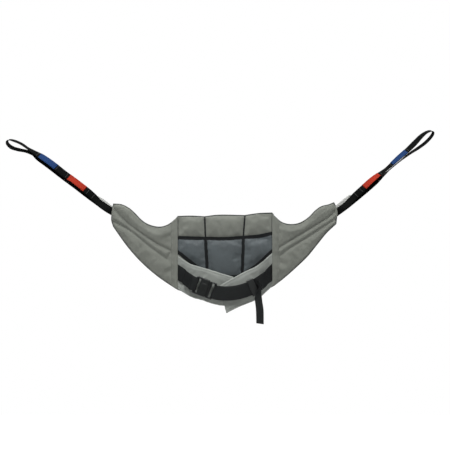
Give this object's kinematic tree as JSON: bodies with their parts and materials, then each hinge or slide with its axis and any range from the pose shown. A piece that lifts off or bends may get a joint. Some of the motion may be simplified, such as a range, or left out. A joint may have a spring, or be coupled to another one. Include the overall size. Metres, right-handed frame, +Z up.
{
  "type": "standing transfer sling",
  "caption": "Padded transfer sling with folding wings, looped lifting straps that swing, and a waist belt with a side-release buckle, webbing keeper and hanging tail.",
  "frame": {"origin": "middle of the back panel, on its outer face, between the two wing seams", "axes": "+Z up as the sling hangs by its loops, +X to the right of somebody facing the padded inner side, +Y out of the back panel's outer face"},
  "size_m": [1.5762, 0.1344, 0.7021],
  "materials": {
    "grey_fabric": "plain woven polyester, matt",
    "light_grey_fabric": "plain woven polyester, matt",
    "dark_grey_binding": "folded woven tape, matt",
    "spacer_mesh": "open knitted mesh",
    "black_tape": "folded woven tape, matt",
    "foam": "soft foam, hidden inside the covers",
    "black_webbing": "ribbed woven webbing, slight sheen",
    "white_webbing": "ribbed woven webbing",
    "red_webbing": "ribbed woven webbing",
    "blue_webbing": "ribbed woven webbing",
    "black_thread": "dense sewn thread",
    "black_plastic": "moulded, satin"
  },
  "bodies": {
    "back_panel": {"back_outer_cover": "grey_fabric", "back_foam_left": "foam", "back_foam_centre": "foam", "back_foam_right": "foam", "top_cover_left": "grey_fabric", "top_cover_centre": "grey_fabric", "top_cover_right": "grey_fabric", "mesh_left": "spacer_mesh", "mesh_centre": "spacer_mesh", "mesh_right": "spacer_mesh", "lower_cover": "grey_fabric", "mesh_top_binding": "black_tape", "mesh_bottom_binding": "black_tape", "channel_tape_left": "black_tape", "channel_tape_right": "black_tape", "panel_seam_left": "dark_grey_binding", "panel_seam_right": "dark_grey_binding"},
    "wing_left": {"wing_outer_cover_left": "grey_fabric", "wing_inner_cover_left": "grey_fabric", "wing_foam_left": "foam", "sleeve_foam_left": "foam", "anchor_webbing_left": "black_webbing", "wing_edge_binding_left": "dark_grey_binding", "wing_seam_left": "dark_grey_binding"},
    "strap_left": {"strap_webbing_left": "black_webbing", "white_loop_left": "white_webbing", "red_loop_left": "red_webbing", "blue_loop_left": "blue_webbing", "strap_bar_tacks_left": "black_thread"},
    "wing_right": {"wing_outer_cover_right": "grey_fabric", "wing_inner_cover_right": "grey_fabric", "wing_foam_right": "foam", "sleeve_foam_right": "foam", "anchor_webbing_right": "black_webbing", "wing_edge_binding_right": "dark_grey_binding", "wing_seam_right": "dark_grey_binding"},
    "strap_right": {"strap_webbing_right": "black_webbing", "white_loop_right": "white_webbing", "red_loop_right": "red_webbing", "blue_loop_right": "blue_webbing", "strap_bar_tacks_right": "black_thread"},
    "waist_belt": {"belt_inner_cover_left": "light_grey_fabric", "belt_foam_left": "foam", "belt_outer_cover_left": "light_grey_fabric", "belt_inner_cover_right": "light_grey_fabric", "belt_foam_right": "foam", "belt_outer_cover_right": "light_grey_fabric", "belt_webbing_left": "black_webbing", "belt_webbing_right": "black_webbing", "belt_loop_webbing": "black_webbing", "buckle_socket": "black_plastic"},
    "buckle_plug": {"buckle_plug": "black_plastic"},
    "prong_upper": {"buckle_prong_upper": "black_plastic"},
    "prong_lower": {"buckle_prong_lower": "black_plastic"},
    "keeper": {"webbing_keeper": "black_plastic"},
    "tail": {"belt_tail": "black_webbing"}
  },
  "joints": [
    {"name": "wing_fold_left", "type": "hinge", "parent": "back_panel", "child": "wing_left", "pos_m": [-0.178, -0.0072, 0], "axis": [0, 0, 1], "range_deg": [-20, 75]},
    {"name": "wing_fold_right", "type": "hinge", "parent": "back_panel", "child": "wing_right", "pos_m": [0.178, -0.0072, 0], "axis": [0, 0, -1], "range_deg": [-20, 75]},
    {"name": "strap_swing_left", "type": "hinge", "parent": "wing_left", "child": "strap_left", "pos_m": [-0.43477, -0.0072, 0.17865], "axis": [0, 1, 0], "range_deg": [-126, 50]},
    {"name": "strap_swing_right", "type": "hinge", "parent": "wing_right", "child": "strap_right", "pos_m": [0.43412, -0.0072, 0.17947], "axis": [0, -1, 0], "range_deg": [-128, 50]},
    {"name": "belt_lift", "type": "hinge", "parent": "back_panel", "child": "waist_belt", "pos_m": [0, -0.02, 0.014], "axis": [-1, 0, 0], "range_deg": [0, 40]},
    {"name": "buckle_release", "type": "slide", "parent": "waist_belt", "child": "buckle_plug", "axis": [0.9196, -0.161, -0.3584], "range_m": [0, 0.032], "deforming": ["belt_loop_webbing", "buckle_prong_upper", "buckle_prong_lower"]},
    {"name": "prong_squeeze_upper", "type": "hinge", "parent": "buckle_plug", "child": "prong_upper", "pos_m": [-0.05584, -0.07928, -0.09988], "axis": [-0.1724, -0.985, 0], "range_deg": [0, 13], "stiffness_Nm_per_rad": 0.2},
    {"name": "prong_squeeze_lower", "type": "hinge", "parent": "buckle_plug", "child": "prong_lower", "pos_m": [-0.06961, -0.07687, -0.13629], "axis": [0.1724, 0.985, 0], "range_deg": [0, 13], "stiffness_Nm_per_rad": 0.2},
    {"name": "keeper_slide", "type": "slide", "parent": "waist_belt", "child": "keeper", "axis": [0.8876, 0.2162, 0.4067], "range_m": [-0.02, 0.004]},
    {"name": "tail_swing", "type": "hinge", "parent": "waist_belt", "child": "tail", "pos_m": [0.12, -0.104, -0.104], "axis": [0, -1, 0], "range_deg": [-12, 45]}
  ]
}
